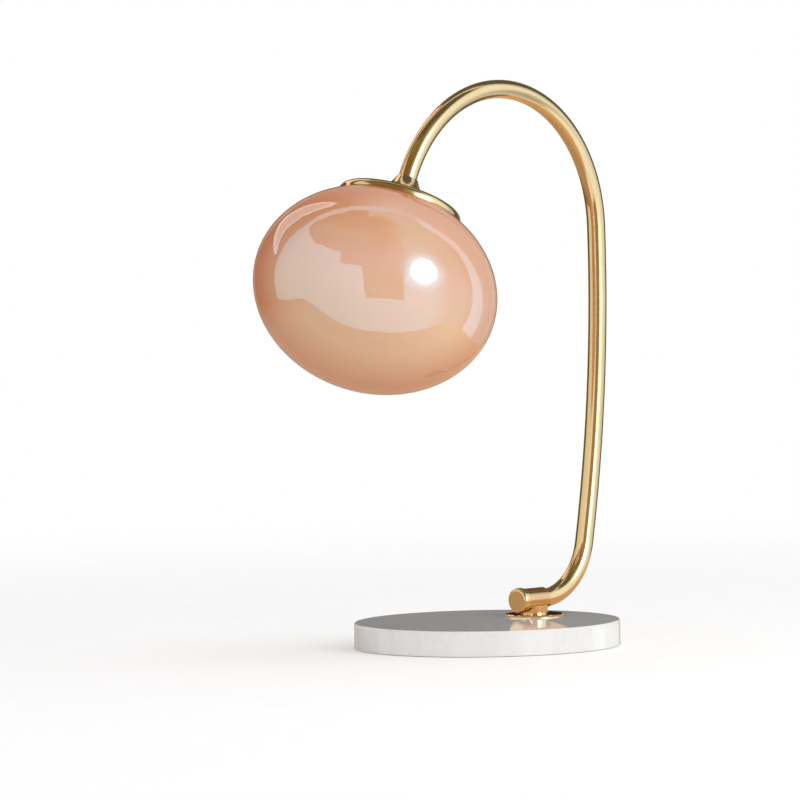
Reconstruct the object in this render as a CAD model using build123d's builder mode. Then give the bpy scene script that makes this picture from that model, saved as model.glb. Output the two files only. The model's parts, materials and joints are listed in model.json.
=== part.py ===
from build123d import *
from math import cos, radians, sqrt
import os

# Table lamp: a round stone base, a bent brass arm and a tilted opal glass globe.
# Millimetres, +Z up, origin at the centre of the underside. The arm lies in the XZ plane,
# its foot and back towards +X, the globe towards -X.

# Overall
overall_height = 457.2
running_gap = 0.05
seat_gap = 0.1

# Base and felt
base_radius = 107.5
base_thickness = 20.1
base_arris = 0.8
felt_margin = 5.0
felt_thickness = 2.0
felt_show = 0.5

# Cord hole in the back of the base, with its grommet
cord_height = 8.5
cord_hole_radius = 3.6
grommet_bore_radius = 2.9
grommet_sleeve_radius = 4.5
grommet_sleeve_length = 7.0
grommet_lip_radius = 6.4
grommet_lip = 1.4

# Hollow threaded rod, nut and washer that hold the foot to the base
rod_radius = 5.0
rod_bore_radius = 3.0
nut_across_flats = 16.0
nut_thickness = 3.5
washer_radius = 13.5
washer_thickness = 1.5
clamp_recess_radius = 16.0
clamp_recess_top = 13.0

# Foot: flange, post and barrel, set in from the back edge of the base
foot_inset = 50.5
flange_radius = 23.5
flange_thickness = 1.8
flange_edge = 0.6
post_radius = 11.0
post_height = 7.0
barrel_radius = 9.3
barrel_ahead = 15.3
barrel_behind = 10.5
barrel_edge = 0.5
axis_height = 34.0

# Rotary switch and its knob
knob_radius = 10.3
knob_length = 5.4
knob_gap = 0.4
knob_round = 2.4
knob_socket_depth = 3.2
shaft_radius = 3.0
shaft_reach = 6.2
switch_inset = 2.0
switch_length = 5.5
switch_bush_radius = 4.2
switch_bush_length = 1.8
screw_radius = 1.5
screw_socket_radius = 0.8
screw_socket_depth = 1.2
screw_inset = 4.5

# Arm: a bent tube, as tangent arcs from the foot to the globe
tube_radius = 7.5
tube_wall = 1.2
tube_gap = 1.1
low_radius = 52.5
low_turn = 79.0
back_turn = 12.8
arch_radius = 118.0
stem_tilt = 24.5
lead_radius = 2.4

# Stem fittings, as depths below the point where the arch ends
tube_end = 13.2
collar_top = 0.4
collar_top_radius = 8.8
collar_foot_radius = 22.0
collar_sag = 1.2
collar_rim = 1.0
cap_top = 19.2
cap_radius = 50.5
cap_wall = 1.2
cap_round_share = 0.8
lip_gap = 0.25
stem_rod_end = 29.2
spider_gauge = 0.8
spider_ring_radius = 13.0
spider_leg_width = 8.0
spider_leg_count = 3
spider_leg_radius = 31.0
spider_knee_drop = 4.3
spider_hook_radius = 37.0
hook_gap = 0.55
gasket_thickness = 1.2
gasket_inner_radius = 33.8
gasket_outer_radius = 38.6

# Opal glass globe: a flattened ball with a ground mouth under the cap
globe_radius = 98.3
globe_half_height = 81.2
globe_drop = 96.2
glass_wall = 3.2
mouth_radius = 34.0

# Lamp holder and bulb
holder_radius = 14.0
holder_wall = 1.6
holder_length = 43.0
core_depth = 15.0
core_thickness = 8.0
shell_radius = 7.8
shell_wall = 0.5
contact_radius = 2.2
contact_height = 1.2
bulb_base_radius = 7.0
bulb_base_length = 19.0
bulb_radius = 22.5
bulb_drop = 31.0
bulb_wall = 1.0
emitter_radius = 4.0
emitter_length = 26.0

# Values worked out from the driving dimensions
base_top = felt_show + base_thickness
felt_radius = base_radius - felt_margin
felt_recess = felt_thickness - felt_show
foot_x = base_radius - foot_inset
barrel_front = foot_x - barrel_ahead
barrel_back = foot_x + barrel_behind
shaft_back = barrel_front + shaft_reach
switch_front = barrel_front + switch_inset
switch_back = switch_front + switch_length
screw_x = barrel_back - screw_inset
tube_start = switch_back + tube_gap
bend_start = barrel_back + seat_gap
rod_bottom = clamp_recess_top - washer_thickness - nut_thickness
barrel_bore = tube_radius + running_gap
rod_hole = rod_radius + running_gap
knob_back = barrel_front - knob_gap
knob_front = knob_back - knob_length
knob_socket_end = knob_back - knob_socket_depth
shaft_length = shaft_back - knob_socket_end
cap_under = cap_top + cap_wall
mouth_depth = cap_under + gasket_thickness
lip_radius = cap_radius - cap_wall
spider_bottom = cap_under + spider_gauge
holder_top = spider_bottom + nut_thickness
core_top = holder_top + core_depth
core_bottom = core_top + core_thickness
bulb_base_top = core_bottom + contact_height
bulb_base_bottom = bulb_base_top + bulb_base_length
bulb_centre = bulb_base_bottom + bulb_drop

# The long arc up the back takes what is left of the height
low_lean = cos(radians(low_turn))
back_lean = cos(radians(low_turn + back_turn))
rise_low = low_radius * (1 - low_lean)
rise_arch = arch_radius * (1 + back_lean)
rise_back = overall_height - tube_radius - axis_height - rise_low - rise_arch
back_radius = rise_back / (low_lean - back_lean)
arch_turn = 270 - stem_tilt - low_turn - back_turn


def glass_depth(radius, inset):
    """Depth of the top of the globe at a radius from the stem, with its surface taken in by an inset."""
    share = radius / (globe_radius - inset)
    return globe_drop - (globe_half_height - inset) * sqrt(1 - share**2)


# The cap's lip follows the glass from above, and the spider's hooks stop below it
lip_depth = glass_depth(lip_radius, 0) - lip_gap
rim_depth = glass_depth(cap_radius, 0) - lip_gap
cap_inner_round = cap_round_share * (lip_depth - cap_under)
hook_depth = glass_depth(spider_hook_radius, glass_wall) + hook_gap
knee_depth = hook_depth + spider_knee_drop


def arm_route(start_x, stem_run):
    """Centre line along the foot, up the back, over the arch and straight down the stem."""
    with BuildLine(Plane.XZ) as route:
        foot_run = Line((start_x, axis_height), (bend_start, axis_height))
        low = JernArc(foot_run @ 1, foot_run % 1, low_radius, low_turn)
        back = JernArc(low @ 1, low % 1, back_radius, back_turn)
        arch = JernArc(back @ 1, back % 1, arch_radius, arch_turn)
        Line(arch @ 1, arch @ 1 + (arch % 1) * stem_run)
    return route.line, arch @ 1, arch % 1


tube_line, stem_foot, stem_down = arm_route(tube_start, tube_end)

# Work planes: profiles hold the radius along local X or Y and the axis along the other
shade_axis = Axis(stem_foot, -stem_down)
shade_profile = Plane(stem_foot, x_dir=(-stem_down.Z, 0, stem_down.X), z_dir=(0, -1, 0))
foot_axis = Axis((0, 0, axis_height), (1, 0, 0))
foot_profile = Plane((0, 0, axis_height), x_dir=(1, 0, 0), z_dir=(0, -1, 0))
cord_axis = Axis((0, 0, cord_height), (1, 0, 0))
cord_profile = Plane((0, 0, cord_height), x_dir=(1, 0, 0), z_dir=(0, -1, 0))


def stem_plane(depth):
    """Plane square to the stem, facing down it, at a depth below the end of the arch."""
    return Plane(stem_foot + stem_down * depth, x_dir=(0, 1, 0), z_dir=stem_down)


def foot_plane(x):
    """Plane square to the barrel, facing the back of the lamp."""
    return Plane((x, 0, axis_height), x_dir=(0, 1, 0), z_dir=(1, 0, 0))


pieces = {}

# Stone base, with the recess for the felt, the clamp recess, the rod hole and the cord hole
with BuildPart() as base:
    with BuildSketch(Plane.XY.offset(felt_show)):
        Circle(base_radius)
    extrude(amount=base_thickness)
    chamfer(base.edges().group_by(Axis.Z)[-1], length=base_arris)
    with BuildSketch(Plane.XY.offset(felt_show)):
        Circle(felt_radius + seat_gap)
    extrude(amount=felt_recess, mode=Mode.SUBTRACT)
    with BuildSketch(Plane.XY.offset(felt_show)):
        with Locations((foot_x, 0)):
            Circle(clamp_recess_radius)
    extrude(amount=clamp_recess_top - felt_show, mode=Mode.SUBTRACT)
    with BuildSketch(Plane.XY.offset(felt_show)):
        with Locations((foot_x, 0)):
            Circle(rod_radius + seat_gap)
    extrude(amount=base_thickness, mode=Mode.SUBTRACT)
    with BuildSketch(Plane.YZ.offset(foot_x)):
        with Locations((0, cord_height)):
            Circle(cord_hole_radius)
    extrude(amount=base_radius, mode=Mode.SUBTRACT)
    with BuildSketch(Plane.YZ.offset(base_radius - grommet_sleeve_length)):
        with Locations((0, cord_height)):
            Circle(grommet_sleeve_radius + seat_gap)
    extrude(amount=base_radius, mode=Mode.SUBTRACT)
pieces["base"] = base

with BuildPart() as felt_pad:
    with BuildSketch(Plane.XY):
        Circle(felt_radius)
    extrude(amount=felt_thickness)
pieces["felt_pad"] = felt_pad

# Rubber grommet: a sleeve in the cord hole with a lip against the outside of the base
with BuildPart() as grommet:
    with BuildSketch(cord_profile):
        with BuildLine():
            Polyline(
                (base_radius - grommet_sleeve_length, grommet_bore_radius),
                (base_radius - grommet_sleeve_length, grommet_sleeve_radius),
                (base_radius, grommet_sleeve_radius),
                (base_radius, grommet_lip_radius),
                (base_radius + grommet_lip, grommet_lip_radius - grommet_lip / 2),
                (base_radius + grommet_lip, grommet_bore_radius),
                close=True,
            )
        make_face()
    revolve(axis=cord_axis)
pieces["grommet"] = grommet

# Clamp under the base: washer and nut on the hollow rod
with BuildPart() as base_washer:
    with BuildSketch(Plane.XY.offset(clamp_recess_top - washer_thickness)):
        with Locations((foot_x, 0)):
            Circle(washer_radius)
            Circle(rod_hole, mode=Mode.SUBTRACT)
    extrude(amount=washer_thickness)
pieces["base_washer"] = base_washer

with BuildPart() as base_nut:
    with BuildSketch(Plane.XY.offset(rod_bottom)):
        with Locations((foot_x, 0)):
            RegularPolygon(nut_across_flats / 2, 6, major_radius=False)
            Circle(rod_hole, mode=Mode.SUBTRACT)
    extrude(amount=nut_thickness)
pieces["base_nut"] = base_nut

with BuildPart() as base_rod:
    with BuildSketch(Plane.XY.offset(rod_bottom)):
        with Locations((foot_x, 0)):
            Circle(rod_radius)
            Circle(rod_bore_radius, mode=Mode.SUBTRACT)
    extrude(amount=axis_height - barrel_bore - rod_bottom - seat_gap)
pieces["base_rod"] = base_rod

# Foot: a thin flange on the stone, a short post with a saddle, and the barrel across it
with BuildPart() as flange:
    with BuildSketch(Plane.XY.offset(base_top)):
        with Locations((foot_x, 0)):
            Circle(flange_radius)
            Circle(rod_hole, mode=Mode.SUBTRACT)
    extrude(amount=flange_thickness)
    outer_edge = flange.edges().group_by(Axis.Z)[-1].sort_by(SortBy.RADIUS)[-1]
    chamfer(outer_edge, length=flange_edge)
pieces["flange"] = flange

with BuildPart() as post:
    with BuildSketch(Plane.XY.offset(base_top + flange_thickness)):
        with Locations((foot_x, 0)):
            Circle(post_radius)
            Circle(rod_hole, mode=Mode.SUBTRACT)
    extrude(amount=post_height)
    with BuildSketch(foot_plane(foot_x - post_radius)):
        Circle(barrel_radius + running_gap)
    extrude(amount=2 * post_radius, mode=Mode.SUBTRACT)
pieces["post"] = post

with BuildPart() as barrel:
    with BuildSketch(foot_plane(barrel_front)):
        Circle(barrel_radius)
        Circle(barrel_bore, mode=Mode.SUBTRACT)
    extrude(amount=barrel_back - barrel_front)
    rims = barrel.edges().filter_by(GeomType.CIRCLE).group_by(SortBy.RADIUS)[-1]
    chamfer(rims, length=barrel_edge)
    with BuildSketch(Plane.XY.offset(base_top)):
        with Locations((foot_x, 0)):
            Circle(rod_hole)
    extrude(amount=axis_height - base_top, mode=Mode.SUBTRACT)
    with BuildSketch(Plane.XZ):
        with Locations((screw_x, axis_height)):
            Circle(screw_radius + running_gap)
    extrude(amount=-2 * barrel_radius, mode=Mode.SUBTRACT)
pieces["barrel"] = barrel

# Rotary switch in the front of the barrel: body with its bush, and the ring that holds it
with BuildPart() as switch_body:
    with BuildSketch(foot_plane(switch_front)):
        Circle(tube_radius)
    extrude(amount=switch_length)
    with BuildSketch(foot_plane(switch_front)):
        Circle(switch_bush_radius)
    extrude(amount=-switch_bush_length)
    with BuildSketch(foot_plane(shaft_back + knob_gap)):
        Circle(shaft_radius + running_gap)
    extrude(amount=-(shaft_back - barrel_front + knob_gap), mode=Mode.SUBTRACT)
pieces["switch_body"] = switch_body

with BuildPart() as switch_ring:
    with BuildSketch(foot_plane(switch_front)):
        Circle(tube_radius)
        Circle(switch_bush_radius + running_gap, mode=Mode.SUBTRACT)
    extrude(amount=-switch_bush_length)
pieces["switch_ring"] = switch_ring

# Knob: a disc with a rounded face, a socket for the shaft and a grub screw from below
with BuildPart() as knob:
    with BuildSketch(foot_profile) as knob_section:
        with BuildLine():
            Polyline(
                (knob_front, 0),
                (knob_front, knob_radius),
                (knob_back, knob_radius),
                (knob_back, shaft_radius),
                (knob_socket_end, shaft_radius),
                (knob_socket_end, 0),
                close=True,
            )
        make_face()
        fillet(knob_section.vertices().group_by(Axis.X)[0].sort_by(Axis.Y)[-1], radius=knob_round)
    revolve(axis=foot_axis)
    with BuildSketch(Plane.XY.offset(axis_height - knob_radius)):
        with Locations((knob_back - knob_socket_depth / 2, 0)):
            Circle(screw_radius)
    extrude(amount=knob_radius, mode=Mode.SUBTRACT)
pieces["knob"] = knob

with BuildPart() as knob_shaft:
    with BuildSketch(foot_plane(knob_socket_end)):
        Circle(shaft_radius)
    extrude(amount=shaft_length)
pieces["knob_shaft"] = knob_shaft

with BuildPart() as knob_screw:
    with BuildSketch(Plane.XY.offset(axis_height - knob_radius + running_gap)):
        with Locations((knob_back - knob_socket_depth / 2, 0)):
            Circle(screw_radius)
    extrude(amount=knob_radius - shaft_radius - 2 * running_gap)
    with BuildSketch(Plane.XY.offset(axis_height - knob_radius + running_gap)):
        with Locations((knob_back - knob_socket_depth / 2, 0)):
            RegularPolygon(screw_socket_radius, 6)
    extrude(amount=screw_socket_depth, mode=Mode.SUBTRACT)
pieces["knob_screw"] = knob_screw

# Bent brass tube, with a wire hole over the hollow rod
with BuildPart() as arm:
    with BuildSketch(foot_plane(tube_start)):
        Circle(tube_radius)
        Circle(tube_radius - tube_wall, mode=Mode.SUBTRACT)
    sweep(path=tube_line)
    with BuildSketch(Plane.XY.offset(base_top)):
        with Locations((foot_x, 0)):
            Circle(rod_bore_radius)
    extrude(amount=axis_height - base_top, mode=Mode.SUBTRACT)
pieces["arm"] = arm

with BuildPart() as arm_screw:
    screw_tip = Plane.XZ.offset(-tube_radius - running_gap)
    with BuildSketch(screw_tip):
        with Locations((screw_x, axis_height)):
            Circle(screw_radius)
    extrude(amount=-(barrel_radius - tube_radius))
    with BuildSketch(screw_tip):
        with Locations((screw_x, axis_height)):
            RegularPolygon(screw_socket_radius, 6)
    extrude(amount=-(barrel_radius - tube_radius), mode=Mode.SUBTRACT)
pieces["arm_screw"] = arm_screw

# Two-core lead inside the tube, from the switch to the lamp holder
lead_line, _, _ = arm_route(switch_back, core_top)
with BuildPart() as arm_lead:
    with BuildSketch(foot_plane(switch_back)):
        Circle(lead_radius)
    sweep(path=lead_line)
pieces["arm_lead"] = arm_lead

# Flared collar between the tube and the cap, hollow below the tube's seat
with BuildPart() as collar:
    with BuildSketch(shade_profile):
        with BuildLine():
            Polyline(
                (collar_foot_radius, -cap_top + collar_rim),
                (collar_foot_radius, -cap_top),
                (rod_hole, -cap_top),
                (rod_hole, -tube_end),
                (barrel_bore, -tube_end),
                (barrel_bore, -collar_top),
                (collar_top_radius, -collar_top),
            )
            SagittaArc(
                (collar_top_radius, -collar_top),
                (collar_foot_radius, -cap_top + collar_rim),
                -collar_sag,
            )
        make_face()
    revolve(axis=shade_axis)
pieces["collar"] = collar

# Hollow rod that joins tube, collar, cap and lamp holder: a plug in the tube, a thread below it
with BuildPart() as stem_rod:
    with BuildSketch(shade_profile):
        with BuildLine():
            Polyline(
                (rod_bore_radius, -collar_top),
                (tube_radius - tube_wall - running_gap, -collar_top),
                (tube_radius - tube_wall - running_gap, -tube_end),
                (rod_radius, -tube_end),
                (rod_radius, -stem_rod_end),
                (rod_bore_radius, -stem_rod_end),
                close=True,
            )
        make_face()
    revolve(axis=shade_axis)
pieces["stem_rod"] = stem_rod

# Brass cap: a flat disc with a round shoulder and a lip down to just above the glass
with BuildPart() as cap:
    with BuildSketch(shade_profile) as cap_section:
        with BuildLine():
            Polyline(
                (rod_hole, -cap_top),
                (cap_radius, -cap_top),
                (cap_radius, -rim_depth),
                (lip_radius, -lip_depth),
                (lip_radius, -cap_under),
                (rod_hole, -cap_under),
                close=True,
            )
        make_face()
        shoulder = cap_section.vertices().group_by(Axis.X)[-1].sort_by(Axis.Y)[-1]
        fillet(shoulder, radius=cap_inner_round + cap_wall)
        inner_shoulder = cap_section.vertices().group_by(Axis.X)[-2].sort_by(Axis.Y)[-1]
        fillet(inner_shoulder, radius=cap_inner_round)
    revolve(axis=shade_axis)
pieces["cap"] = cap

# Spring spider under the cap: a ring with three legs that hook under the mouth of the globe
with BuildPart() as spider:
    with BuildSketch(shade_profile):
        with BuildLine():
            Polyline(
                (rod_hole, -cap_under - spider_gauge / 2),
                (spider_leg_radius, -cap_under - spider_gauge / 2),
                (spider_leg_radius, -knee_depth),
                (spider_hook_radius, -hook_depth),
            )
        trace(line_width=spider_gauge)
    revolve(axis=shade_axis)
    with BuildSketch(stem_plane(cap_top)):
        Circle(spider_ring_radius)
        with PolarLocations(spider_hook_radius / 2, spider_leg_count):
            Rectangle(2 * spider_hook_radius, spider_leg_width)
    extrude(amount=2 * (knee_depth - cap_top), mode=Mode.INTERSECT)
pieces["spider"] = spider

with BuildPart() as cap_nut:
    with BuildSketch(stem_plane(spider_bottom)):
        RegularPolygon(nut_across_flats / 2, 6, major_radius=False)
        Circle(rod_hole, mode=Mode.SUBTRACT)
    extrude(amount=nut_thickness)
pieces["cap_nut"] = cap_nut

with BuildPart() as gasket:
    with BuildSketch(stem_plane(cap_under)):
        Circle(gasket_outer_radius)
        Circle(gasket_inner_radius, mode=Mode.SUBTRACT)
    extrude(amount=gasket_thickness)
pieces["gasket"] = gasket

# Glass globe: half of its wall section, cut off flat at the mouth, turned about the stem
with BuildPart() as globe:
    with BuildSketch(shade_profile):
        with Locations((0, -globe_drop)):
            Ellipse(globe_radius, globe_half_height)
            Ellipse(globe_radius - glass_wall, globe_half_height - glass_wall, mode=Mode.SUBTRACT)
            Rectangle(
                globe_radius,
                2 * globe_half_height,
                align=(Align.MAX, Align.CENTER),
                mode=Mode.SUBTRACT,
            )
        with Locations((0, -mouth_depth)):
            Rectangle(globe_radius, globe_half_height, align=Align.MIN, mode=Mode.SUBTRACT)
            Rectangle(mouth_radius, mouth_radius, align=(Align.MIN, Align.CENTER), mode=Mode.SUBTRACT)
    revolve(axis=shade_axis)
pieces["globe"] = globe

# Lamp holder: moulded housing, ceramic core, screw shell and centre contact
with BuildPart() as holder_body:
    with BuildSketch(stem_plane(holder_top)):
        Circle(holder_radius)
        Circle(rod_hole, mode=Mode.SUBTRACT)
    extrude(amount=core_depth)
    with BuildSketch(stem_plane(core_top)):
        Circle(holder_radius)
    extrude(amount=holder_length - core_depth)
    with BuildSketch(stem_plane(core_top)):
        Circle(holder_radius - holder_wall)
    extrude(amount=holder_length - core_depth, mode=Mode.SUBTRACT)
    fillet(holder_body.edges().sort_by(shade_axis)[-1], radius=holder_wall)
pieces["holder_body"] = holder_body

with BuildPart() as holder_core:
    with BuildSketch(stem_plane(core_top)):
        Circle(holder_radius - holder_wall - running_gap)
    extrude(amount=core_thickness)
pieces["holder_core"] = holder_core

with BuildPart() as screw_shell:
    with BuildSketch(stem_plane(core_bottom)):
        Circle(shell_radius)
        Circle(shell_radius - shell_wall, mode=Mode.SUBTRACT)
    extrude(amount=bulb_base_length)
pieces["screw_shell"] = screw_shell

with BuildPart() as centre_contact:
    with BuildSketch(stem_plane(core_bottom)):
        Circle(contact_radius)
    extrude(amount=contact_height)
pieces["centre_contact"] = centre_contact

# Bulb: screw base, round envelope and the emitter inside it
with BuildPart() as bulb_base:
    with BuildSketch(stem_plane(bulb_base_top)):
        Circle(bulb_base_radius)
    extrude(amount=bulb_base_length)
pieces["bulb_base"] = bulb_base

bulb_inner = bulb_radius - bulb_wall
neck_inner = bulb_base_radius - bulb_wall
with BuildPart() as bulb_glass:
    with BuildSketch(shade_profile):
        with Locations((0, -bulb_centre)):
            Circle(bulb_radius)
        with Locations((0, -bulb_base_bottom)):
            Rectangle(bulb_base_radius, bulb_drop, align=(Align.MIN, Align.MAX))
        with Locations((0, -bulb_centre)):
            Circle(bulb_inner, mode=Mode.SUBTRACT)
            Rectangle(bulb_radius, 2 * bulb_radius, align=(Align.MAX, Align.CENTER), mode=Mode.SUBTRACT)
        with Locations((0, -bulb_base_bottom)):
            Rectangle(neck_inner, bulb_drop, align=(Align.MIN, Align.MAX), mode=Mode.SUBTRACT)
    revolve(axis=shade_axis)
pieces["bulb_glass"] = bulb_glass

with BuildPart() as bulb_emitter:
    with BuildSketch(stem_plane(bulb_base_bottom)):
        Circle(emitter_radius)
    extrude(amount=emitter_length)
pieces["bulb_emitter"] = bulb_emitter

# Each piece is labelled and written to a file of its own
os.makedirs("parts", exist_ok=True)
for node, piece in pieces.items():
    piece.part.label = node
    export_step(piece.part, f"parts/{node}.step")
    print(node, len(piece.part.solids()), round(piece.part.volume, 1))
print("back radius", round(back_radius, 1), "stem foot", stem_foot)
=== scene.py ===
import json
from math import cos, radians, sin

import bpy
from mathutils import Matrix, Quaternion, Vector

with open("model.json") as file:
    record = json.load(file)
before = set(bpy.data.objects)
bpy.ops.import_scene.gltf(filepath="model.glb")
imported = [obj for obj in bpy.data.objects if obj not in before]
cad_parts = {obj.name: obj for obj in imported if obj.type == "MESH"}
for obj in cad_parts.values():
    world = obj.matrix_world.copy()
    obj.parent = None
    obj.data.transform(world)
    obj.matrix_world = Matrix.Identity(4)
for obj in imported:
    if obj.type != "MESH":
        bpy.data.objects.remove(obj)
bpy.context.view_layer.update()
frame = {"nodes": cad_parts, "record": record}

nodes = frame["nodes"]
subparts = frame["record"]["subparts"]

# Angles are in degrees. Lengths are in metres, and the camera's lens and sensor in millimetres.
# Camera, as the photograph stands to the lamp
CAMERA_AZIMUTH = -46.82
CAMERA_ELEVATION = 3.0
CAMERA_DISTANCE = 6.0
CAMERA_AIM = Vector((-0.0985, 0.0, 0.2041))
CAMERA_LENS = 338.4
CAMERA_SENSOR = 36.0
CAMERA_ROLL = 0.97
CAMERA_CLIP = 50.0

# Soft lights round the middle of the lamp
LIGHT_CENTRE = Vector((-0.05, 0.0, 0.26))
LIGHT_DISTANCE = 2.2
KEY_AZIMUTH = 48.5
KEY_ELEVATION = 16.5
KEY_SIZE = 1.15
KEY_POWER = 11.0
TOP_AZIMUTH = 20.0
TOP_ELEVATION = 75.0
TOP_SIZE = 1.6
TOP_POWER = 6.0

# White surround, which gives less light from the camera's left than from its right
FILL_LEFT = 0.71
FILL_RIGHT = 0.92

# Floor, solid round the lamp and clear further out
FLOOR_RADIUS = 4.0
FLOOR_SIDES = 120
FLOOR_SOLID = 0.45
FLOOR_GONE = 1.5
FLOOR_LIFT = 0.06

# The globe's own axis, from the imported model: up the stem from the globe's centre
GLOBE_CENTRE = Vector((-0.12524, 0.0, 0.29310))
GLOBE_AXIS = Vector((0.41469, 0.0, 0.90996))
GLOBE_HALF_HEIGHT = 0.0812

# Tints of the glass along that axis, pinker towards the top and lighter in the lower half, where the
# lighter tint is painted light; of its milky swirls, its rim and its reflections
GLASS_TINTS_AND_PAINTED_LIGHT = [
    (0.0, (0.86, 0.45, 0.25)),
    (0.35, (0.92, 0.52, 0.335)),
    (0.5, (0.88, 0.48, 0.345)),
    (0.68, (0.80, 0.385, 0.21)),
    (1.0, (0.75, 0.28, 0.20)),
]
GLASS_MILK = (0.80, 0.55, 0.42)
GLASS_RIM = (0.72, 0.25, 0.115)
GLASS_MIRROR = (0.4, 0.85, 1.0, 1.0)

# Stone, from its darker to its lighter clouds, and its veins
STONE_DARK = (0.815, 0.805, 0.79)
STONE_LIGHT = (0.845, 0.835, 0.82)
STONE_VEIN = (0.70, 0.69, 0.675)

# Places of a Mix node's colour sockets, which share their names with its other sockets
MIX_FIRST = 6
MIX_SECOND = 7
MIX_RESULT = 2


def direction(azimuth, elevation):
    """Unit vector out from the lamp; azimuth 0 points along -Y and 90 along +X."""
    a, e = radians(azimuth), radians(elevation)
    return Vector((sin(a) * cos(e), -cos(a) * cos(e), sin(e)))


def from_camera(azimuth, elevation):
    """Unit vector with the azimuth counted from the camera, positive to its right."""
    return direction(CAMERA_AZIMUTH + azimuth, elevation)


# Node helpers
def new_material(name):
    material = bpy.data.materials.new(name)
    material.use_nodes = True
    tree = material.node_tree
    return material, tree, tree.nodes["Principled BSDF"]


def add(tree, kind, inputs=None, **settings):
    """A shader node; each input is a value or another node's output."""
    made = tree.nodes.new("ShaderNode" + kind)
    for key, value in settings.items():
        setattr(made, key, value)
    for key, value in (inputs or {}).items():
        if isinstance(value, bpy.types.NodeSocket):
            tree.links.new(value, made.inputs[key])
        else:
            made.inputs[key].default_value = value
    return made


def position(tree):
    """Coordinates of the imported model, which move with each body."""
    return add(tree, "TexCoord").outputs["Object"]


def stretched(tree, scale):
    return add(tree, "Mapping", {"Vector": position(tree), "Scale": scale}).outputs["Vector"]


def noise(tree, vector, scale, detail, roughness=0.5, distortion=0.0):
    inputs = {"Vector": vector, "Scale": scale, "Detail": detail}
    inputs.update({"Roughness": roughness, "Distortion": distortion})
    return add(tree, "TexNoise", inputs).outputs["Fac"]


def ramp(tree, factor, stops):
    """A colour for each factor; stops are (place, colour or grey level)."""
    made = add(tree, "ValToRGB", {"Fac": factor})
    band = made.color_ramp
    while len(band.elements) < len(stops):
        band.elements.new(0.5)
    for element, (place, tone) in zip(band.elements, stops):
        element.position = place
        colour = tone if isinstance(tone, tuple) else (tone, tone, tone)
        element.color = (*colour, 1.0)
    return made.outputs["Color"]


def mix(tree, factor, first, second):
    """From the first colour, a node's output, to the second, a plain one."""
    made = add(tree, "Mix", {"Factor": factor}, data_type="RGBA")
    tree.links.new(first, made.inputs[MIX_FIRST])
    made.inputs[MIX_SECOND].default_value = (*second, 1.0)
    return made.outputs[MIX_RESULT]


def bump(tree, height, strength, distance):
    inputs = {"Height": height, "Strength": strength, "Distance": distance}
    return add(tree, "Bump", inputs).outputs["Normal"]


def feed(tree, shader, **sources):
    """Links node outputs to the shader's sockets, named with _ for a space."""
    for key, value in sources.items():
        tree.links.new(value, shader.inputs[key.replace("_", " ")])


def fix(shader, **values):
    """Sets the shader's own sockets."""
    for key, value in values.items():
        shader.inputs[key.replace("_", " ")].default_value = value


# Materials of the lamp
def make_brass(name, dark, light):
    material, tree, shader = new_material(name)
    fix(shader, Metallic=1.0)
    cloud = noise(tree, position(tree), scale=26.0, detail=3.0)
    tone = ramp(tree, cloud, [(0.3, dark), (0.7, light)])
    drawn = stretched(tree, (900.0, 900.0, 60.0))
    grain = noise(tree, drawn, scale=1.0, detail=4.0, roughness=0.6)
    gloss = ramp(tree, grain, [(0.25, 0.10), (0.75, 0.15)])
    feed(tree, shader, Base_Color=tone, Roughness=gloss)
    feed(tree, shader, Normal=bump(tree, grain, strength=0.06, distance=0.0002))
    return material


def make_stone():
    material, tree, shader = new_material("white_marble")
    fix(shader, IOR=1.52)
    place = position(tree)
    drift = noise(tree, place, scale=9.0, detail=5.0, roughness=0.6, distortion=1.6)
    cloud = ramp(tree, drift, [(0.25, STONE_DARK), (0.6, STONE_LIGHT)])
    slanted = stretched(tree, (1.0, 1.7, 1.4))
    warped = noise(tree, slanted, scale=6.5, detail=7.0, roughness=0.62, distortion=2.4)
    line = ramp(tree, warped, [(0.47, 0.0), (0.498, 0.2), (0.502, 0.2), (0.53, 0.0)])
    veins = mix(tree, line, cloud, STONE_VEIN)
    crystals = noise(tree, place, scale=900.0, detail=2.0)
    polish = ramp(tree, crystals, [(0.3, 0.03), (0.7, 0.06)])
    feed(tree, shader, Base_Color=veins, Roughness=polish)
    return material


def make_opal_glass():
    material, tree, shader = new_material("opal_glass_peach")
    fix(shader, IOR=2.6, Specular_Tint=GLASS_MIRROR)
    fix(shader, Subsurface_Weight=0.25, Subsurface_Scale=0.006)
    fix(shader, Subsurface_Radius=(1.0, 0.45, 0.3))
    place = position(tree)
    offset = add(tree, "VectorMath", {0: place, 1: GLOBE_CENTRE}, operation="SUBTRACT")
    both = {0: offset.outputs["Vector"], 1: GLOBE_AXIS}
    along = add(tree, "VectorMath", both, operation="DOT_PRODUCT").outputs["Value"]
    spread = {"From Min": -GLOBE_HALF_HEIGHT, "From Max": GLOBE_HALF_HEIGHT}
    height = add(tree, "MapRange", {"Value": along, **spread}).outputs["Result"]
    # Tint along the axis, lighter low down as painted light
    tint_and_painted_light = ramp(tree, height, GLASS_TINTS_AND_PAINTED_LIGHT)
    swirl = noise(tree, place, scale=14.0, detail=3.0, roughness=0.5, distortion=0.8)
    milk = ramp(tree, swirl, [(0.35, 0.0), (0.7, 0.08)])
    milky = mix(tree, milk, tint_and_painted_light, GLASS_MILK)
    edge = add(tree, "LayerWeight", {"Blend": 0.35}).outputs["Facing"]
    depth = ramp(tree, edge, [(0.22, 0.0), (0.5, 0.8), (0.9, 1.0)])
    feed(tree, shader, Base_Color=mix(tree, depth, milky, GLASS_RIM))
    ripple = noise(tree, place, scale=22.0, detail=2.0)
    feed(tree, shader, Roughness=ramp(tree, ripple, [(0.3, 0.03), (0.7, 0.05)]))
    feed(tree, shader, Normal=bump(tree, ripple, strength=0.05, distance=0.0006))
    return material


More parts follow.
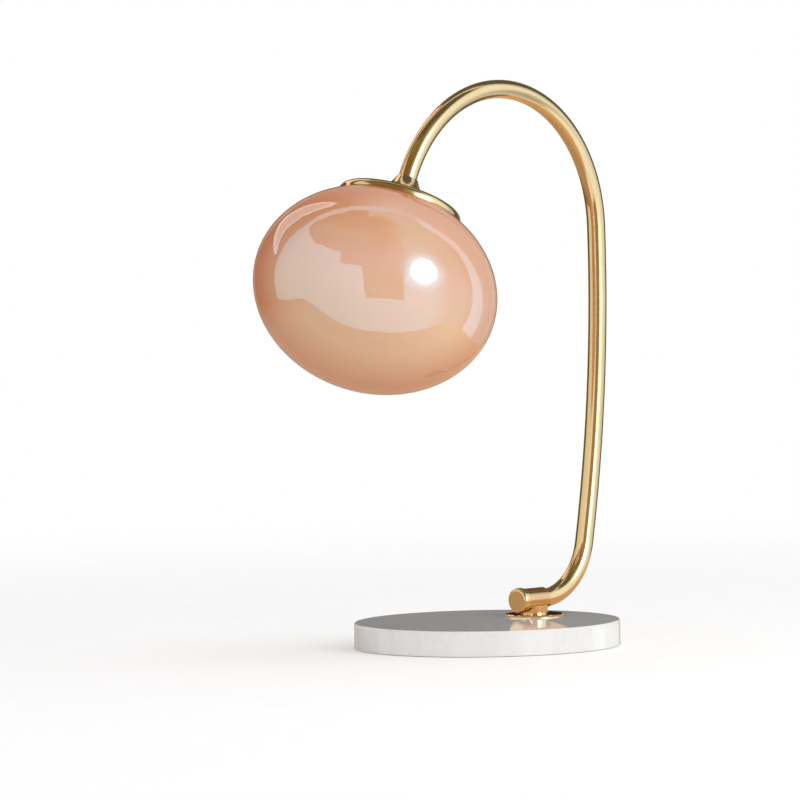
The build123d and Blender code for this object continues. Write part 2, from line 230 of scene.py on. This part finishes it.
def make_steel():
    material, tree, shader = new_material("plated_steel")
    fix(shader, Metallic=1.0)
    grain = noise(tree, stretched(tree, (300.0, 300.0, 1500.0)), scale=1.0, detail=3.0)
    feed(tree, shader, Base_Color=ramp(tree, grain, [(0.3, 0.48), (0.7, 0.60)]))
    feed(tree, shader, Roughness=ramp(tree, grain, [(0.3, 0.24), (0.7, 0.36)]))
    return material


def make_felt():
    material, tree, shader = new_material("dark_felt")
    fix(shader, Sheen_Weight=0.4, Sheen_Roughness=0.5, Roughness=0.95)
    fibre = noise(tree, position(tree), scale=1400.0, detail=4.0, roughness=0.7)
    feed(tree, shader, Base_Color=ramp(tree, fibre, [(0.3, 0.012), (0.7, 0.035)]))
    feed(tree, shader, Normal=bump(tree, fibre, strength=0.7, distance=0.0006))
    return material


def make_moulded(name, dark, light, smooth, rough):
    """A moulded or fired surface: fine grain in its tone, gloss and relief."""
    material, tree, shader = new_material(name)
    grain = noise(tree, position(tree), scale=700.0, detail=3.0, roughness=0.6)
    feed(tree, shader, Base_Color=ramp(tree, grain, [(0.3, dark), (0.7, light)]))
    feed(tree, shader, Roughness=ramp(tree, grain, [(0.3, smooth), (0.7, rough)]))
    feed(tree, shader, Normal=bump(tree, grain, strength=0.12, distance=0.0002))
    return material


def make_bulb_glass():
    material, tree, shader = new_material("frosted_bulb_glass")
    fix(shader, IOR=1.5, Transmission_Weight=0.6)
    frost = noise(tree, position(tree), scale=1800.0, detail=3.0, roughness=0.6)
    feed(tree, shader, Base_Color=ramp(tree, frost, [(0.3, 0.86), (0.7, 0.94)]))
    feed(tree, shader, Roughness=ramp(tree, frost, [(0.3, 0.35), (0.7, 0.5)]))
    return material


finishes = {
    "stone": make_stone(),
    "felt": make_felt(),
    "brass": make_brass("brass_satin", dark=(0.74, 0.52, 0.265), light=(0.785, 0.56, 0.30)),
    "steel": make_steel(),
    "rubber": make_moulded("black_rubber", dark=0.008, light=0.02, smooth=0.55, rough=0.75),
    "opal_glass": make_opal_glass(),
    "black_plastic": make_moulded(
        "black_moulding", dark=0.006, light=0.014, smooth=0.3, rough=0.42
    ),
    "lead_sheath": make_moulded(
        "lead_sheath", dark=(0.62, 0.6, 0.55), light=(0.72, 0.7, 0.65), smooth=0.35, rough=0.5
    ),
    "ceramic": make_moulded(
        "white_ceramic", dark=(0.70, 0.69, 0.66), light=(0.8, 0.79, 0.76), smooth=0.5, rough=0.65
    ),
    "bulb_glass": make_bulb_glass(),
    "emitter": make_moulded(
        "phosphor", dark=(0.75, 0.55, 0.1), light=(0.85, 0.65, 0.16), smooth=0.4, rough=0.55
    ),
}
for subpart in subparts:
    lamp_piece = nodes[subpart["node"]]
    lamp_piece.data.materials.clear()
    lamp_piece.data.materials.append(finishes[subpart["material_slot"]])

# The barrel gets a darker, redder copy of the tube's brass, which is painted shade
shaded_brass_copy = make_brass("brass_painted_shade", dark=(0.68, 0.40, 0.20), light=(0.74, 0.45, 0.23))
nodes["barrel"].data.materials[0] = shaded_brass_copy

# Cards that only reflections see, most of them on a sphere round the globe. Each layer is nearer to
# the globe than the sphere by the length given here.
CARD_DISTANCE = 8.0
CARD_ROWS = 16
CARD_STEPS = 90
WINDOW_LAYER = -0.2
WINDOW_BRASS_LAYER = -0.15
WALL_LAYER = 0.0
WALL_BRASS_LAYER = 0.05
SIDE_LAYER = 0.1
SIDE_BRASS_LAYER = 0.15
FRONT_LAYER = 0.2
KEY_LAYER = 0.4

# Tones of the cards
OVERHEAD = (0.12, 0.12, 0.06)
WARM = (0.44, 0.28, 0.16)
WARM_HIGH = (0.26, 0.14, 0.05)
TAN_DIM = (0.26, 0.31, 0.14)
TAN_LIT = (0.47, 0.55, 0.42)
TAN_HIGH = (0.56, 0.78, 0.66)
BACK_LEFT = (0.27, 0.13, 0.075)
BACK_RIGHT = (0.78, 0.84, 0.70)
WINDOW_LEFT = (0.82, 0.90, 0.80)
WINDOW = (1.10, 1.13, 1.18)
SIDE_WINDOW = (1.25, 1.45, 1.40)
PANE_EDGE = (1.85, 1.43, 1.33)
PANE_FILL = (1.5, 0.98, 0.77)
STRIP_DARK = 0.012
STRIP_EDGE = (0.53, 0.50, 0.40)
TABLE = (0.55, 0.42, 0.30)
TABLE_RIGHT = (1.0, 0.66, 0.38)

# Tones that the brass sees in place of some of these
BRASS_DIM = (0.14, 0.13, 0.09)
BRASS_BRIGHT = (1.15, 1.33, 1.50)
BRASS_SIDE = (0.76, 0.86, 0.95)


# Studio
def stage_mesh(name, points, faces, material):
    mesh = bpy.data.meshes.new(name)
    mesh.from_pydata(points, [], faces)
    mesh.materials.append(material)
    made = bpy.data.objects.new(name, mesh)
    bpy.context.scene.collection.objects.link(made)
    return made


def grid_faces(lines, stride, closed=False, start=0):
    """Faces between neighbouring lines of points; a closed line comes back to its first point."""
    faces = []
    for line in range(lines - 1):
        near, far = start + line * stride, start + (line + 1) * stride
        for i in range(stride if closed else stride - 1):
            j = (i + 1) % stride
            faces.append((near + i, far + i, far + j, near + j))
    return faces


def glow(name, stops, see_through):
    """A card's light, with its tone read from each corner's place along the stops."""
    material = bpy.data.materials.new(name)
    material.use_nodes = True
    material.cycles.emission_sampling = "NONE"
    tree = material.node_tree
    tree.nodes.clear()
    place = add(tree, "Attribute", attribute_name="place").outputs["Fac"]
    light = add(tree, "Emission", {"Color": ramp(tree, place, stops), "Strength": 1.0}).outputs[0]
    if see_through:
        both = add(tree, "AddShader")
        tree.links.new(light, both.inputs[0])
        tree.links.new(add(tree, "BsdfTransparent").outputs[0], both.inputs[1])
        light = both.outputs[0]
    add(tree, "OutputMaterial", {"Surface": light})
    return material


def reflected(name, points, faces, places, stops, see_through=False):
    """A card that reflections alone see."""
    made = stage_mesh(name, points, faces, glow(name, stops, see_through))
    made.data.attributes.new("place", "FLOAT", "POINT").data.foreach_set("value", places)
    made.visible_camera = False
    made.visible_diffuse = False
    made.visible_transmission = False
    made.visible_shadow = False
    return made


def card_point(azimuth, elevation, nearer):
    return GLOBE_CENTRE + from_camera(azimuth, elevation) * (CARD_DISTANCE - nearer)


def level_at(edge, azimuth):
    """Elevation of a card's edge, drawn straight between its corners."""
    for (a, low), (b, high) in zip(edge, edge[1:]):
        if a <= azimuth <= b:
            return low + (high - low) * (azimuth - a) / (b - a)
    raise ValueError(azimuth)


# A card can be lit for the brass alone or for all other pieces alone. A card for the others is black
# to the brass, and a see-through card before it gives the brass its own tone.
brass_pieces = bpy.data.collections.new("brass_pieces")
other_pieces = bpy.data.collections.new("other_pieces")
for subpart in subparts:
    group = brass_pieces if subpart["material_slot"] == "brass" else other_pieces
    group.objects.link(nodes[subpart["node"]])


def card(name, lower, upper, stops, nearer, shade=None, pieces=None):
    """A card between two edges of (azimuth from the camera, elevation).
    The shade gives each corner's place along the stops.
    Where pieces are given, the card is lit for them alone."""
    first, last = lower[0][0], lower[-1][0]
    steps = {first + (last - first) * i / CARD_STEPS for i in range(CARD_STEPS + 1)}
    columns = sorted(steps | {a for a, _ in lower} | {a for a, _ in upper})
    points, places = [], []
    for azimuth in columns:
        low, high = level_at(lower, azimuth), level_at(upper, azimuth)
        for row in range(CARD_ROWS + 1):
            elevation = low + (high - low) * row / CARD_ROWS
            points.append(card_point(azimuth, elevation, nearer))
            places.append(shade(azimuth, elevation) if shade else 0.0)
    faces = grid_faces(len(columns), CARD_ROWS + 1)
    made = reflected(name, points, faces, places, stops, see_through=pieces == brass_pieces)
    if pieces is not None:
        made.light_linking.receiver_collection = pieces


def share(value, low, high):
    """How far a value is from low to high, from 0 to 1."""
    return min(max((value - low) / (high - low), 0.0), 1.0)


def plain(tone):
    return [(0.0, tone), (1.0, tone)]


def end_to_end(edge):
    """A shade that runs from one end of a card's edge to the other."""
    return lambda azimuth, elevation: share(azimuth, edge[0][0], edge[-1][0])


# Windows: a wide one in front, and a narrow one at the right between two cards
window_low = [(-114.0, -58.0), (60.0, -58.0)]
window_high = [(-114.0, 60.0), (60.0, 60.0)]
window_tones = [(0.0, WINDOW_LEFT), (0.55, WINDOW)]
card("window_front", window_low, window_high, window_tones, WINDOW_LAYER, end_to_end(window_low))
side_low = [(98.0, -50.0), (128.0, -50.0)]
side_high = [(98.0, 56.0), (128.0, 56.0)]
card("window_side", side_low, side_high, plain(SIDE_WINDOW), WINDOW_LAYER, None, other_pieces)
card("side_for_brass", side_low, side_high, plain(BRASS_SIDE), WINDOW_BRASS_LAYER, None, brass_pieces)


# The overhead card comes down in steps in front, and leaves a thin white line before the back card
def overhead_shade(azimuth, elevation):
    darker_upwards = max(0.0, (elevation - 64.0) / 80.0)
    return share(azimuth, -180.0, 180.0) - darker_upwards


overhead_low = [
    (-180.0, 79.0), (-171.0, 79.0), (-125.0, 72.0), (-112.0, 61.0), (-104.0, 48.0), (-69.0, 38.0),
    (-37.0, 34.0), (-36.0, 20.0), (-14.0, 19.0), (-13.0, -20.0), (23.0, -20.0), (24.0, 10.0),
    (60.0, 20.0), (104.0, 45.0), (110.0, 56.0), (123.0, 64.0), (141.0, 74.0), (180.0, 79.0),
]
overhead_high = [(-180.0, 89.9), (180.0, 89.9)]
overhead_tones = [(0.4, OVERHEAD), (0.55, TAN_DIM), (0.7, TAN_HIGH)]
card(
    "overhead_card", overhead_low, overhead_high, overhead_tones,
    WALL_LAYER, overhead_shade, other_pieces,
)
card(
    "overhead_dim", overhead_low, overhead_high, plain(BRASS_DIM),
    WALL_BRASS_LAYER, None, brass_pieces,
)


# The front card is warm, darker upwards, and tan at its top and right
def front_shade(azimuth, elevation):
    upwards = 0.6 * share(elevation, 24.0, 66.0)
    right = 0.75 * share(azimuth, 5.0, 45.0) * share(elevation, 10.0, 35.0)
    return 0.4 + upwards - right


front_low = [
    (-112.0, 55.0), (-69.0, 38.0), (-37.0, 34.0), (-36.0, 20.0), (-14.0, 19.0), (-13.0, -20.0),
    (23.0, -20.0), (25.0, 7.0), (35.0, 36.0), (48.0, 65.0),
]
front_high = [(-112.0, 55.1), (-69.0, 66.0), (48.0, 66.0)]
front_tones = [(0.0, TAN_LIT), (0.4, WARM), (0.7, WARM_HIGH), (1.0, TAN_DIM)]
card("front_card", front_low, front_high, front_tones, FRONT_LAYER, front_shade)


# The right card fades from white to tan, upwards and towards the narrow window. To the brass it is
# bright, half dark low down at its right, and dark at its top.
def right_shade(azimuth, elevation):
    sideways = min((azimuth - 50.0) / 56.0, 0.5)
    upwards = (elevation - 2.0) / 44.0
    return max(sideways, upwards)


def right_brass_shade(azimuth, elevation):
    before_window = share(-azimuth, -92.0, -78.0)
    upwards = 0.4 + 0.6 * share(elevation, -20.0, 4.0)
    below_top = share(-elevation, -54.0, -40.0)
    return max(before_window, upwards) * below_top


right_low = [(22.0, -58.0), (101.0, -45.0), (102.0, -21.0), (104.0, 5.0), (108.0, 33.0)]
right_high = [(22.0, 62.0), (102.0, 50.0), (108.0, 46.0)]
right_tones = [(0.0, WINDOW), (0.5, TAN_LIT), (0.9, TAN_HIGH)]
right_brass_tones = [(0.0, BRASS_DIM), (1.0, BRASS_BRIGHT)]
card("right_card", right_low, right_high, right_tones, SIDE_LAYER, right_shade, other_pieces)
card(
    "right_for_brass", right_low, right_high, right_brass_tones,
    SIDE_BRASS_LAYER, right_brass_shade, brass_pieces,
)


# The back card darkens to the left, and has a dark strip low down where the top of the base looks
def strip_shade(azimuth, elevation):
    across, up = (azimuth - 180.0) / 20.0, (elevation - 2.0) / 16.0
    return (across**2 + up**2) ** 0.5


back_low = [(118.0, 20.0), (120.0, 9.0), (123.0, -24.0), (126.0, -45.0), (250.0, -45.0)]
back_high = [
    (118.0, 46.0), (124.0, 54.0), (137.0, 60.0), (154.0, 67.0), (184.0, 71.0), (216.0, 67.0),
    (233.0, 59.0), (247.0, 48.0), (250.0, 25.0),
]
back_tones = [(0.3, BACK_RIGHT), (0.65, BACK_LEFT)]
card(
    "back_card", back_low, back_high, back_tones,
    WALL_LAYER, end_to_end(back_low), other_pieces,
)
card("back_dim", back_low, back_high, plain(BRASS_DIM), WALL_BRASS_LAYER, None, brass_pieces)
strip_low = [(160.0, -14.0), (200.0, -14.0)]
strip_high = [(160.0, 18.0), (200.0, 18.0)]
strip_tones = [(0.4, STRIP_DARK), (1.0, STRIP_EDGE)]
card("dark_strip", strip_low, strip_high, strip_tones, SIDE_LAYER, strip_shade)

# A pane at the upper left, pale inside a bright edge
pane_low = [(204.0, 22.0), (208.0, 20.0), (226.0, 20.0), (242.0, 14.5), (245.0, 16.0)]
pane_high = [
    (204.0, 56.0), (215.0, 57.0), (221.0, 52.0), (226.0, 42.0), (231.0, 30.0), (236.0, 24.0),
    (245.0, 17.0),
]
card("pane_edge", pane_low, pane_high, plain(PANE_EDGE), SIDE_LAYER)
fill_low = [(207.0, 25.0), (210.0, 23.5), (226.0, 23.0), (238.0, 18.5)]
fill_high = [
    (207.0, 52.0), (213.0, 53.0), (218.0, 49.0), (223.0, 40.0), (229.0, 28.0), (234.0, 22.5),
    (238.0, 19.5),
]
card("pane_fill", fill_low, fill_high, plain(PANE_FILL), FRONT_LAYER)

# A table top under the lamp, its corners given right of and towards the camera from the globe's centre
TABLE_HEIGHT = 0.018
TABLE_RINGS = 10
TABLE_SHADE_WIDTH = 1.8


def table_point(right, towards):
    flat = from_camera(90.0, 0.0) * right + from_camera(0.0, 0.0) * towards
    return Vector((GLOBE_CENTRE.x + flat.x, GLOBE_CENTRE.y + flat.y, TABLE_HEIGHT))


table_outline = [
    (-0.98, -0.34), (-0.86, -0.01), (-0.81, 0.22), (-0.54, 0.27), (-0.34, 0.243), (-0.185, 0.222),
    (0.0, 0.224), (0.106, 0.221), (0.222, 0.206), (0.387, 0.186), (0.46, 0.09), (0.423, -0.05),
    (0.386, -0.17), (0.37, -2.0), (-0.9, -2.0),
]
table_tones = [(0.28, TABLE_RIGHT), (0.5, TABLE), (0.72, TABLE), (1.0, BACK_LEFT)]
table_points, table_places = [], []
for ring in range(TABLE_RINGS + 1):
    for corner_right, corner_towards in table_outline:
        right = corner_right * ring / TABLE_RINGS
        towards = corner_towards * ring / TABLE_RINGS
        table_points.append(table_point(right, towards))
        table_places.append(0.5 - right / TABLE_SHADE_WIDTH)
table_faces = grid_faces(TABLE_RINGS + 1, len(table_outline), closed=True)
reflected("table_card", table_points, table_faces, table_places, table_tones)

# Round key light with a soft glow, as reflections see it, squashed along one diagonal
GLOW_RINGS = 18
GLOW_SIDES = 64
GLOW_REACH = 31.0
GLOW_SQUASH = 0.79
GLOW_CORE = 9.0
DIAGONAL = 2**0.5
glow_tones = [
    (0.0, GLOW_CORE), (0.44, GLOW_CORE), (0.51, (1.9, 2.5, 2.6)), (0.6, (0.7, 1.1, 1.2)),
    (0.8, (0.1, 0.3, 0.35)), (1.0, 0.0),
]
glow_points = [card_point(KEY_AZIMUTH, KEY_ELEVATION, KEY_LAYER)]
glow_places = [0.0]
for ring in range(1, GLOW_RINGS + 1):
    reach = GLOW_REACH * ring / GLOW_RINGS
    for side in range(GLOW_SIDES):
        angle = radians(360.0 * side / GLOW_SIDES)
        short, long = reach * cos(angle) * GLOW_SQUASH, reach * sin(angle)
        sideways = (short + long) / DIAGONAL / cos(radians(KEY_ELEVATION))
        upwards = (long - short) / DIAGONAL
        glow_points.append(card_point(KEY_AZIMUTH + sideways, KEY_ELEVATION + upwards, KEY_LAYER))
        glow_places.append(ring / GLOW_RINGS)
glow_faces = [(0, 1 + side, 1 + (side + 1) % GLOW_SIDES) for side in range(GLOW_SIDES)]
glow_faces += grid_faces(GLOW_RINGS, GLOW_SIDES, closed=True, start=1)
reflected("key_glow", glow_points, glow_faces, glow_places, glow_tones, see_through=True)

# White surround: white to the camera and in reflections, softer as a light
world = bpy.data.worlds.new("studio")
bpy.context.scene.world = world
world.use_nodes = True
sky = world.node_tree
sky.nodes.clear()
rays = add(sky, "LightPath").outputs
first_two = {0: rays["Is Camera Ray"], 1: rays["Is Glossy Ray"]}
seen = add(sky, "Math", first_two, operation="ADD").outputs[0]
all_three = {0: seen, 1: rays["Is Transmission Ray"]}
looked_at = add(sky, "Math", all_three, operation="ADD", use_clamp=True).outputs[0]
facing = add(sky, "TexCoord").outputs["Generated"]
rightwards = {0: facing, 1: from_camera(90.0, 0.0)}
side = add(sky, "VectorMath", rightwards, operation="DOT_PRODUCT").outputs["Value"]
slope = {"From Min": -1.0, "From Max": 1.0, "To Min": FILL_LEFT, "To Max": FILL_RIGHT}
fill = add(sky, "MapRange", {"Value": side, **slope}).outputs["Result"]
level = add(sky, "MapRange", {"Value": looked_at, "To Min": fill, "To Max": 1.0}).outputs[0]
white = add(sky, "Background", {"Color": (1.0, 1.0, 1.0, 1.0), "Strength": level})
add(sky, "OutputWorld", {"Surface": white.outputs["Background"]})


# Pale floor that fades into the surround, lifted a little to the camera alone
def make_floor():
    material = bpy.data.materials.new("pale_floor")
    material.use_nodes = True
    tree = material.node_tree
    tree.nodes.clear()
    place = position(tree)
    speck = noise(tree, place, scale=40.0, detail=2.0)
    paper = add(tree, "BsdfDiffuse", {"Color": ramp(tree, speck, [(0.3, 0.93), (0.7, 0.95)])})
    reach = add(tree, "VectorMath", {0: place}, operation="LENGTH").outputs["Value"]
    span = {"From Min": FLOOR_SOLID, "From Max": FLOOR_GONE}
    fade = add(tree, "MapRange", {"Value": reach, **span}, interpolation_type="SMOOTHSTEP")
    clear = add(tree, "BsdfTransparent")
    camera_ray = add(tree, "LightPath").outputs["Is Camera Ray"]
    lift = add(tree, "MapRange", {"Value": camera_ray, "To Max": FLOOR_LIFT})
    white = add(tree, "Emission", {"Strength": lift.outputs["Result"]})
    lifted = add(tree, "AddShader")
    tree.links.new(paper.outputs[0], lifted.inputs[0])
    tree.links.new(white.outputs[0], lifted.inputs[1])
    both = add(tree, "MixShader", {"Fac": fade.outputs["Result"]})
    tree.links.new(lifted.outputs[0], both.inputs[1])
    tree.links.new(clear.outputs[0], both.inputs[2])
    add(tree, "OutputMaterial", {"Surface": both.outputs[0]})
    return material


rim = [direction(360.0 * i / FLOOR_SIDES, 0.0) * FLOOR_RADIUS for i in range(FLOOR_SIDES)]
floor = stage_mesh("floor", rim, [tuple(range(FLOOR_SIDES))], make_floor())

# Neither the floor nor the base shows in reflections
floor.visible_glossy = False
nodes["base"].visible_glossy = False


# Lamps
def soft_light(name, azimuth, elevation, size, power):
    """A round soft light that neither the camera nor a reflection sees."""
    data = bpy.data.lights.new(name, "AREA")
    data.shape = "DISK"
    data.size = size
    data.energy = power
    made = bpy.data.objects.new(name, data)
    bpy.context.scene.collection.objects.link(made)
    arrow = from_camera(azimuth, elevation)
    made.location = LIGHT_CENTRE + arrow * LIGHT_DISTANCE
    made.rotation_mode = "QUATERNION"
    made.rotation_quaternion = arrow.to_track_quat("Z", "Y")
    made.visible_camera = False
    made.visible_glossy = False


soft_light("key_softbox", KEY_AZIMUTH, KEY_ELEVATION, KEY_SIZE, KEY_POWER)
soft_light("top_softbox", TOP_AZIMUTH, TOP_ELEVATION, TOP_SIZE, TOP_POWER)

# Camera
camera_data = bpy.data.cameras.new("camera")
camera_data.lens = CAMERA_LENS
camera_data.sensor_width = CAMERA_SENSOR
camera_data.clip_end = CAMERA_CLIP
camera = bpy.data.objects.new("camera", camera_data)
bpy.context.scene.collection.objects.link(camera)
back = direction(CAMERA_AZIMUTH, CAMERA_ELEVATION)
camera.location = CAMERA_AIM + back * CAMERA_DISTANCE
camera.rotation_mode = "QUATERNION"
turn = Quaternion((0.0, 0.0, 1.0), radians(-CAMERA_ROLL))
camera.rotation_quaternion = back.to_track_quat("Z", "Y") @ turn
bpy.context.scene.camera = camera
bpy.context.scene.view_settings.view_transform = "Standard"
